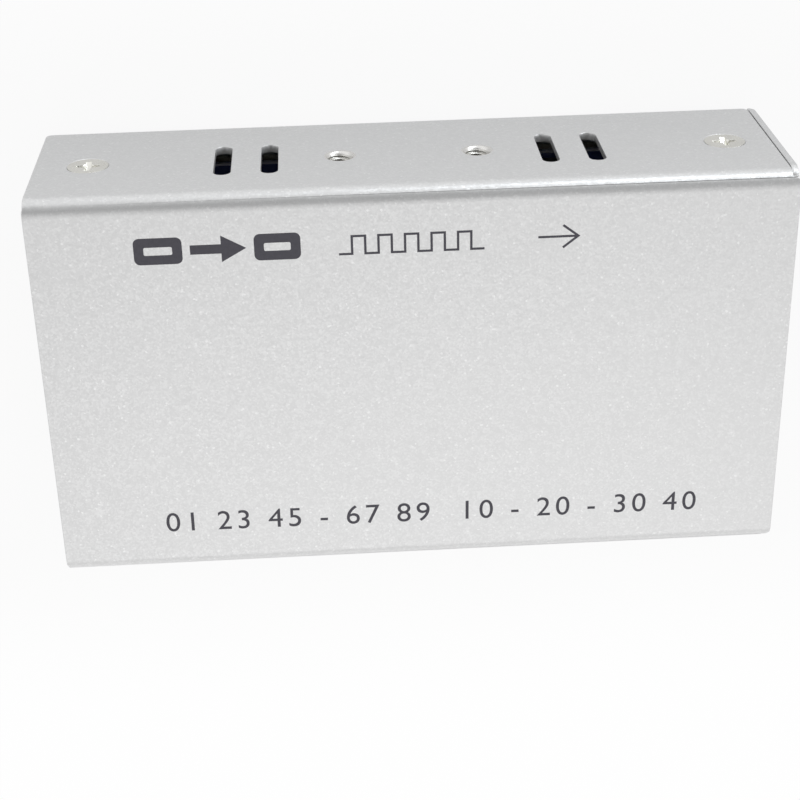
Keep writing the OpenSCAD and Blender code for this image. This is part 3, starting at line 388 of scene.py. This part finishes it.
# %% Dress the frame's nodes
WEARERS = {
    case_paint: ["cover", "base"],
    screw_nickel: ["cover_screws", "board_screws"],
    foot_rubber: ["rubber_feet"],
    film: ["insulation_sheet"],
    brass: ["board_standoffs"],
    solder_mask: ["main_board"],
    socket_steel: ["video_shell", "network_shield"],
    socket_black: ["video_tongue", "power_body", "network_housing", "lamp_holder",
                   "capacitor_bases"],
    contact_gold: ["video_contacts", "network_contacts"],
    pin_nickel: ["power_pin", "power_spring"],
    clear_blue: ["power_lamp"],
    milky_resin: ["network_lamps"],
    tin: ["lamp_leads", "transformer_leads", "chip_leads"],
    chip_black: ["extender_chip", "control_chip_body", "memory_chips", "regulator"],
    silicone_pad: ["thermal_pad"],
    black_anodising: ["heat_sink"],
    transformer_black: ["line_transformer"],
    drawn_aluminium: ["crystal", "capacitor_cans"],
    ferrite: ["power_inductors", "signal_chokes"],
    polymer_green: ["input_fuse"],
    ceramic_tan: ["ceramic_capacitors"],
    glazed_black: ["chip_resistors"],
}
finish_of = {node: material for material, nodes in WEARERS.items() for node in nodes}


def wear_material(piece, material):
    """Gives a piece one material in place of what it had."""
    piece.data.materials.clear()
    piece.data.materials.append(material)
    return piece


for name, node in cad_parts.items():
    wear_material(node, finish_of[name])
print("dressed", len(finish_of), "nodes in", len(WEARERS), "finishes")

# %% [markdown]
# No real edge is perfectly sharp. Sheet has a tiny rolled edge where it was punched, and the
# powder rounds it further, which is why the edges of such a box show as thin bright lines. A
# node's own mesh stays as it is, so a welded copy takes its place: the copy's triangles are
# joined into flat faces, its edges are bevelled, and weighted normals keep the flat faces flat. A
# weld of half a thousandth of a millimetre joins only points that are the same. The cover needs a
# far wider one: on its round folds some points lie closer together than the bevel is wide, and
# the bevel would throw spikes from them.

# %% Softened copies
SAME_POINT = 0.0005 * MM
WELDS = {"cover": 0.15 * MM}
FLAT_ANGLE = 0.5
EDGE_ANGLE = 35
SOFT_EDGES = {
    "cover": 0.10 * MM,
    "base": 0.10 * MM,
    "cover_screws": 0.05 * MM,
    "rubber_feet": 0.25 * MM,
    "network_shield": 0.04 * MM,
    "network_housing": 0.05 * MM,
    "network_lamps": 0.1 * MM,
    "video_shell": 0.04 * MM,
    "video_tongue": 0.03 * MM,
    "power_body": 0.12 * MM,
    "power_pin": 0.05 * MM,
    "heat_sink": 0.06 * MM,
    "line_transformer": 0.15 * MM,
}


def welded_mesh(name, weld):
    """A node's mesh with its doubles merged and its flat triangles joined into faces."""
    shell = bmesh.new()
    shell.from_mesh(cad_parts[name].data)
    bmesh.ops.remove_doubles(shell, verts=shell.verts, dist=weld)
    bmesh.ops.dissolve_limit(shell, angle_limit=math.radians(FLAT_ANGLE), verts=shell.verts,
                             edges=shell.edges)
    mesh = bpy.data.meshes.new(name + "_soft")
    shell.to_mesh(mesh)
    shell.free()
    mesh.polygons.foreach_set("use_smooth", np.ones(len(mesh.polygons), bool))
    return mesh


def new_piece(name, mesh, material):
    """A piece of one material that rides on the box."""
    piece = wear_material(linked(name, mesh), material)
    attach(piece, "root")
    return piece


def softened(name, width, weld):
    """A copy of a node, welded, with bevelled edges of the given width. It replaces the node."""
    piece = new_piece(name + "_soft", welded_mesh(name, weld), finish_of[name])
    bevel = piece.modifiers.new("soft_edges", "BEVEL")
    bevel.width = width
    bevel.segments = 2
    bevel.limit_method = "ANGLE"
    bevel.angle_limit = math.radians(EDGE_ANGLE)
    bevel.use_clamp_overlap = False
    normals = piece.modifiers.new("flat_faces", "WEIGHTED_NORMAL")
    normals.keep_sharp = False
    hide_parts(name)
    return piece


for name, width in SOFT_EDGES.items():
    softened(name, width, WELDS.get(name, SAME_POINT))
print("softened", len(SOFT_EDGES), "nodes")

# %% [markdown]
# The ear holes are tapped. A thread could be a groove cut out of the wall, but that would change
# the cover's own mesh. It is a ridge wound round inside the plain hole here: the radius is the
# wall's less a wave, and the wave's phase is the depth over the pitch less the angle over a turn.
# One closed tube holds the ridge and the wall behind it, so the thread is a solid coil liner.

# %% Threads in the ear holes
PITCH = 0.5 * MM
THREAD_DEPTH = 0.24 * MM
THREAD_FROM, THREAD_TO = 0.35 * MM, 2.1 * MM
THREAD_FADE = 0.2 * MM
LINER_WALL = 0.02 * MM
AROUND, ALONG = 48, 56


def thread_liner(x, side):
    """Points and faces of one threaded liner.

    Around the hole runs the angle a. Round the liner's section runs the depth d: down the ridged
    inner wall, then back up the smooth outer one. Inner radius = wall less thread depth times
    (0.5 + 0.5 cos(2 pi d / pitch - a)), and the ridge fades out at both ends. The other wall is
    entered from its other side, so the angle changes its sign there and the thread stays
    right-handed.
    """
    angle = np.linspace(0, 2 * np.pi, AROUND, endpoint=False)[:, None]
    depth = np.linspace(THREAD_FROM, THREAD_TO, ALONG)[None, :]
    wave = 0.5 + 0.5 * np.cos(2 * np.pi * depth / PITCH - side * angle)
    ends = np.clip(np.minimum(depth - THREAD_FROM, THREAD_TO - depth) / THREAD_FADE, 0, 1)
    inner = EAR_RADIUS - THREAD_DEPTH * wave * ends
    outer = np.full((AROUND, 2), EAR_RADIUS + LINER_WALL)
    radius = np.hstack([inner, outer])
    depths = np.hstack([depth[0], [THREAD_TO, THREAD_FROM]])[None, :]
    points = np.stack([
        x + radius * np.cos(angle),
        side * (WALL_Y - depths) + 0 * radius,
        SCREW_Z + radius * np.sin(angle),
    ], axis=-1)
    rows, columns = points.shape[:2]
    i, j = np.meshgrid(np.arange(rows), np.arange(columns), indexing="ij")
    up, right = (i + 1) % rows, (j + 1) % columns
    corners = [i * columns + j, up * columns + j, up * columns + right, i * columns + right]
    return points.reshape(-1, 3), np.stack(corners, axis=-1).reshape(-1, 4)


def joined_piece(name, parts, material):
    """One piece from several lists of points and faces, with its faces turned outwards."""
    points, faces, start = [], [], 0
    for part_points, part_faces in parts:
        points.append(part_points)
        faces.append(part_faces + start)
        start += len(part_points)
    mesh = bpy.data.meshes.new(name)
    mesh.from_pydata(np.vstack(points).tolist(), [], np.vstack(faces).tolist())
    mesh.polygons.foreach_set("use_smooth", np.ones(len(mesh.polygons), bool))
    shell = bmesh.new()
    shell.from_mesh(mesh)
    bmesh.ops.recalc_face_normals(shell, faces=shell.faces)
    shell.to_mesh(mesh)
    shell.free()
    return new_piece(name, mesh, material)


liners = [thread_liner(x, side) for x in (-EAR_X, EAR_X) for side in (-1, 1)]
threads = joined_piece("ear_threads", liners, bare_steel)
print(len(liners), "threads,", len(threads.data.polygons), "faces")

# %% [markdown]
# The print is a thin layer of dark ink with crisp edges. A picture would need an image and would
# blur from near by, so the print is geometry: a layer a hundredth of a millimetre thick that
# starts just inside the paint. The ink is a dull dark violet grey, a little uneven as screen
# print is.

# %% Ink
INK = (0.074, 0.070, 0.088)
INK_HEIGHT = 0.012 * MM


def print_ink():
    finish = Finish("print_ink", INK, roughness=0.5)
    wear(finish, INK, 0.5 * MM, 0.12)
    finish.bump(finish.noise(0.2 * MM, 2.0), 0.004 * MM, 0.5)
    return finish.material


ink = print_ink()
print("ink layer", round(INK_HEIGHT / MM, 3), "mm")

# %% [markdown]
# Each mark is a list of closed outlines in millimetres, seen from above. Two functions draw them:
# one gives a box with round corners, and one gives a line its width. Where a line bends, its two
# borders meet on the miter, so that the line stays equally wide round the bend.

# %% Outlines
def rounded_box(x, y, width, height, radius, steps=6):
    """Outline of a rectangle with round corners: a quarter circle about each inner corner."""
    turn = np.linspace(0, np.pi / 2, steps)
    corners = []
    for quarter, (sx, sy) in enumerate([(1, 1), (-1, 1), (-1, -1), (1, -1)]):
        center = np.array([x + sx * (width / 2 - radius), y + sy * (height / 2 - radius)])
        angle = turn + quarter * np.pi / 2
        corners.append(center + radius * np.stack([np.cos(angle), np.sin(angle)], axis=-1))
    return np.vstack(corners)


def stroke(path, width):
    """Outline of a line of the given width along a path.

    At each point the offset is half the width along the miter: the sum of the two normals there
    over one plus their product. The outline runs up one side and back down the other.
    """
    path = np.array(path, float)
    step = np.diff(path, axis=0)
    length = np.linalg.norm(step, axis=1)[:, None]
    normal = np.stack([-step[:, 1], step[:, 0]], axis=-1) / length
    before = np.vstack([normal[:1], normal])
    after = np.vstack([normal, normal[-1:]])
    miter = (before + after) / (1 + np.sum(before * after, axis=1))[:, None]
    return np.vstack([path + miter * width / 2, (path - miter * width / 2)[::-1]])


print("outline of a round box:", len(rounded_box(0, 0, 2, 2, 0.5)), "points")

# %% [markdown]
# A flat curve with closed outlines fills itself, holes included, which saves cutting the shapes
# into faces by hand. The curve is turned into a mesh before it is put in place, so that the piece
# itself sits at the origin like every other.

# %% Marks
def as_print(curve):
    """The mesh of a filled curve, still at the origin."""
    holder = linked(curve.name, curve)
    depsgraph = bpy.context.evaluated_depsgraph_get()
    mesh = bpy.data.meshes.new_from_object(holder.evaluated_get(depsgraph))
    bpy.data.objects.remove(holder)
    return mesh


def on_label(name, mesh):
    """Puts a printed mesh on the top plate as a piece."""
    mesh.transform(Matrix.Translation((0, 0, TOP)))
    return new_piece(name, mesh, ink)


def mark(name, outlines):
    """A printed mark from closed outlines in millimetres. An outline inside another is a hole."""
    curve = bpy.data.curves.new(name, "CURVE")
    curve.dimensions = "2D"
    curve.fill_mode = "BOTH"
    curve.extrude = INK_HEIGHT
    for outline in outlines:
        spline = curve.splines.new("POLY")
        spline.points.add(len(outline) - 1)
        flat = np.zeros((len(outline), 4))
        flat[:, :2] = np.array(outline) * MM
        flat[:, 3] = 1
        spline.points.foreach_set("co", flat.ravel())
        spline.use_cyclic_u = True
    return on_label(name, as_print(curve))


print("marks will lie at z", round(TOP / MM, 3), "mm")

# %% [markdown]
# The marks are plain ones, of the size and weight that such a label has. In bold, two boxes
# joined by an arrow stand for the two ends of the wire. In a thin line follow a square wave and a
# small arrow. The small arrow is one outline: two that overlap would cancel each other where they
# cross, so the shaft's outline joins the inner side of the head's at the points where they meet.

# %% The first row of marks
BOLD = 1.15
THIN = 0.28
ROW_Y = 18.5
BOX_HEIGHT = 3.3
OUTER_ROUND, INNER_ROUND = 0.7, 0.2
ARROW_TAIL, ARROW_NECK, ARROW_TIP = -26.2, -22.6, -19.7


def bold_box(x, width):
    """Two outlines of a box drawn with a bold line: the outside, and the hole in it."""
    hole_width, hole_height = width - 2 * BOLD, BOX_HEIGHT - 2 * BOLD
    return [rounded_box(x, ROW_Y, width, BOX_HEIGHT, OUTER_ROUND),
            rounded_box(x, ROW_Y, hole_width, hole_height, INNER_ROUND)]


bold_arrow = [
    (ARROW_TAIL, ROW_Y - BOLD / 2),
    (ARROW_NECK, ROW_Y - BOLD / 2),
    (ARROW_NECK, ROW_Y - BOX_HEIGHT / 2),
    (ARROW_TIP, ROW_Y),
    (ARROW_NECK, ROW_Y + BOX_HEIGHT / 2),
    (ARROW_NECK, ROW_Y + BOLD / 2),
    (ARROW_TAIL, ROW_Y + BOLD / 2),
]
sender, receiver = bold_box(x=-29.9, width=5.6), bold_box(x=-16.1, width=5.4)
mark("link_mark", sender + [bold_arrow] + receiver)

WAVE_FROM, WAVE_TO, WAVE_RISERS = -9, 8, 12
WAVE_LOW, WAVE_HIGH = 17.2, 19.4
wave_x = np.repeat(np.linspace(WAVE_FROM, WAVE_TO, WAVE_RISERS), 2)[1:-1]
wave_y = np.tile([WAVE_LOW, WAVE_LOW, WAVE_HIGH, WAVE_HIGH], WAVE_RISERS // 2)[:len(wave_x)]
mark("wave_mark", [stroke(np.stack([wave_x, wave_y], axis=-1), THIN)])

SEND_Y = 18.3
SEND_TAIL, SEND_TIP = 14.3, 19
HEAD_LENGTH, HEAD_HALF = 1.8, 1.4
head_back = SEND_TIP - HEAD_LENGTH
head = stroke([(head_back, SEND_Y - HEAD_HALF), (SEND_TIP, SEND_Y),
               (head_back, SEND_Y + HEAD_HALF)], THIN)
joint = head[1][0] - THIN / 2 * HEAD_LENGTH / HEAD_HALF
shaft = [(joint, SEND_Y - THIN / 2), (SEND_TAIL, SEND_Y - THIN / 2),
         (SEND_TAIL, SEND_Y + THIN / 2), (joint, SEND_Y + THIN / 2)]
mark("send_mark", [np.vstack([head[:1], shaft, head[2:]])])
print("first row printed, with its middle at y", ROW_Y, "mm")

# %% [markdown]
# Small print stands near the other edge. Plain numerals look like a row of print and say nothing.
# Blender's own font makes them, which is quicker than drawing each one, and the finished mesh is
# stretched to the space that the row has. It is then turned by a third of a degree, because a
# printed row is seldom quite true.

# %% The row of numerals
NUMERALS = "01 23 45 - 67 89  10 - 20 - 30 40"
NUMERALS_LOW, NUMERALS_HIGH = (-31.86, -19.65), (35.1, -16.95)
NUMERALS_TILT = -0.35
LETTER_GAP = 1.25


def numerals(name, body, low, high, tilt):
    """A row of numerals that fills the box from low to high, turned by a small tilt."""
    text = bpy.data.curves.new(name, "FONT")
    text.body = body
    text.size = 1.0
    text.space_character = LETTER_GAP
    text.extrude = INK_HEIGHT
    mesh = as_print(text)
    points = np.zeros(len(mesh.vertices) * 3)
    mesh.vertices.foreach_get("co", points)
    points = points.reshape(-1, 3)
    start, span = points[:, :2].min(axis=0), np.ptp(points[:, :2], axis=0)
    scale = (np.array(high) - np.array(low)) * MM / span
    print("numerals are", round(float(scale[0] / scale[1]), 3), "times as wide as the font's")
    points[:, :2] = np.array(low) * MM + (points[:, :2] - start) * scale
    mesh.vertices.foreach_set("co", points.ravel())
    mesh.transform(Matrix.Rotation(tilt, 4, "Z"))
    return on_label(name, mesh)


numerals("numeral_row", NUMERALS, NUMERALS_LOW, NUMERALS_HIGH, math.radians(NUMERALS_TILT))

# %% [markdown]
# The floor is white paper. Lit by the lamps alone it would be grey in places, and more light on
# it would wash out the box. So to the camera, and in reflections, it mixes in a plain white glow:
# Light Path says which rays ask. A small share of the lit paper stays in the mix, a larger one
# close to the box, and keeps the soft shadow there. A glossy wall sees the paper in the box's
# shade too, so in gloss the glow is dimmer near the box, and dimmer still on the far side, which
# the fold at the picture's lower edge mirrors.

# %% Floor
PAPER = 0.85
FLOOR_HALF = 3.0
GLOW_SHARE = 0.985
SHADOW_SHARE = 0.08
SHADE_REACH = 45 * MM
SHADE_DEPTH = 0.32
FAR_DEPTH = 0.5


def seen_by(finish, *kinds):
    """1 for rays of any of the given kinds, and 0 for the light on the object."""
    rays = finish.siblings(finish.node("LightPath"), [f"Is {kind} Ray" for kind in kinds])
    return reduce(lambda one, other: one.math("MAXIMUM", one, other), rays)


def floor_paper():
    finish = Finish("floor_paper", grey(PAPER), roughness=0.9)
    x, y, _ = finish.axes()
    beside, before = abs(x) - cover_high.x, abs(y) - cover_high.y
    shade = 1 - beside.math("MAXIMUM", beside, before).rise(0, SHADE_REACH)
    depth = SHADE_DEPTH + FAR_DEPTH * (0 - y).rise(0, cover_high.y)
    dim = depth * shade * seen_by(finish, "Glossy")
    color = finish.blend(dim, opaque(WHITE), opaque(WHITE, 0))
    glow = finish.node("Emission", values={"Color": color, "Strength": 1})
    lit = Wire(finish, finish.shader.outputs[0])
    white = seen_by(finish, "Camera", "Glossy", "Transmission")
    share = white * (GLOW_SHARE - SHADOW_SHARE * shade)
    surface = finish.node("MixShader", values=[share, lit, glow])
    finish.connect(surface, finish.tree.nodes["Material Output"].inputs["Surface"])
    return finish.material


floor_mesh = bpy.data.meshes.new("floor")
corner_signs = np.array([(-1, -1), (1, -1), (1, 1), (-1, 1)])
floor_points = np.hstack([corner_signs * FLOOR_HALF, np.zeros((4, 1))])
floor_mesh.from_pydata(floor_points.tolist(), [], [(0, 1, 2, 3)])
floor = wear_material(linked("floor", floor_mesh), floor_paper())
print("floor", 2 * FLOOR_HALF, "m wide")

# %% [markdown]
# Two soft panels light the box. Bare lamps would give hard shadows and pinpoint highlights, and
# this paint shows neither. One panel is wide and low, a little cool, and faces the wall with the
# vents: it lights that wall, and the fold above it mirrors it as a bright line. The other hangs
# over the opposite side and lights the printed face.

# %% Panels
BOX_MIDDLE = (0, 0, 0.02)
COOL = (0.88, 0.95, 1)


def panel(name, place, width, height, watts, color=WHITE):
    """A soft panel at a place, turned to face the middle of the box."""
    light = bpy.data.lights.new(name, "AREA")
    light.shape = "RECTANGLE"
    light.size = width
    light.size_y = height
    light.energy = watts
    light.color = color
    lamp = linked(name, light)
    facing = (Vector(BOX_MIDDLE) - Vector(place)).to_track_quat("-Z", "Y")
    lamp.matrix_world = Matrix.Translation(place) @ facing.to_matrix().to_4x4()
    return lamp


panel("wall_panel", (0.46, 0.62, 0.07), width=0.9, height=0.13, watts=1.5, color=COOL)
panel("label_panel", (0.1, -0.9, 1.2), width=1.1, height=0.86, watts=1.35)

# %% [markdown]
# The sky adds a plain grey fill, and is white only where it is seen. An even sky would leave the
# fold pale all over, because a glossy round mirrors all of it. A real room is not even: its
# ceiling is dimmer than its walls, and the part behind the camera is darker still. So in gloss
# the sky sinks towards the zenith, and once more in a round zone behind the camera, which gives
# the fold the dark line beside its bright one. The zone is the set of directions whose dot
# product with its middle is high.

# %% Sky
class Sky(Finish):
    """The world's light, written with the same wires. Its place is the direction looked in."""

    def __init__(self, world):
        self.tree = world.node_tree
        self.shader = self.tree.nodes["Background"]
        self.place = self.node("TexCoord", output="Generated")


FILL = 0.62
CEILING_FROM, CEILING_FULL, CEILING_DEPTH = 0.1, 0.6, 0.2
ZONE_Y, ZONE_Z = 0.530, 0.848
ZONE_FROM, ZONE_FULL, ZONE_DEPTH = 0.82, 0.95, 0.6

world = bpy.data.worlds.new("sky")
bpy.context.scene.world = world
world.use_nodes = True
sky = Sky(world)
_, y, z = sky.axes()
ceiling = z.rise(CEILING_FROM, CEILING_FULL)
zone = (ZONE_Y * y + ZONE_Z * z).rise(ZONE_FROM, ZONE_FULL)
mirrored = 1 - CEILING_DEPTH * ceiling - ZONE_DEPTH * zone
seen = seen_by(sky, "Camera", "Transmission")
glossy = seen_by(sky, "Glossy")
sky.set("Color", opaque(WHITE))
sky.set("Strength", FILL + (1 - FILL) * seen + (mirrored - FILL) * glossy)
bpy.context.scene.view_settings.view_transform = "Standard"
print("sky", FILL, "as light, in gloss down to", round(1 - CEILING_DEPTH - ZONE_DEPTH, 2))

# %% [markdown]
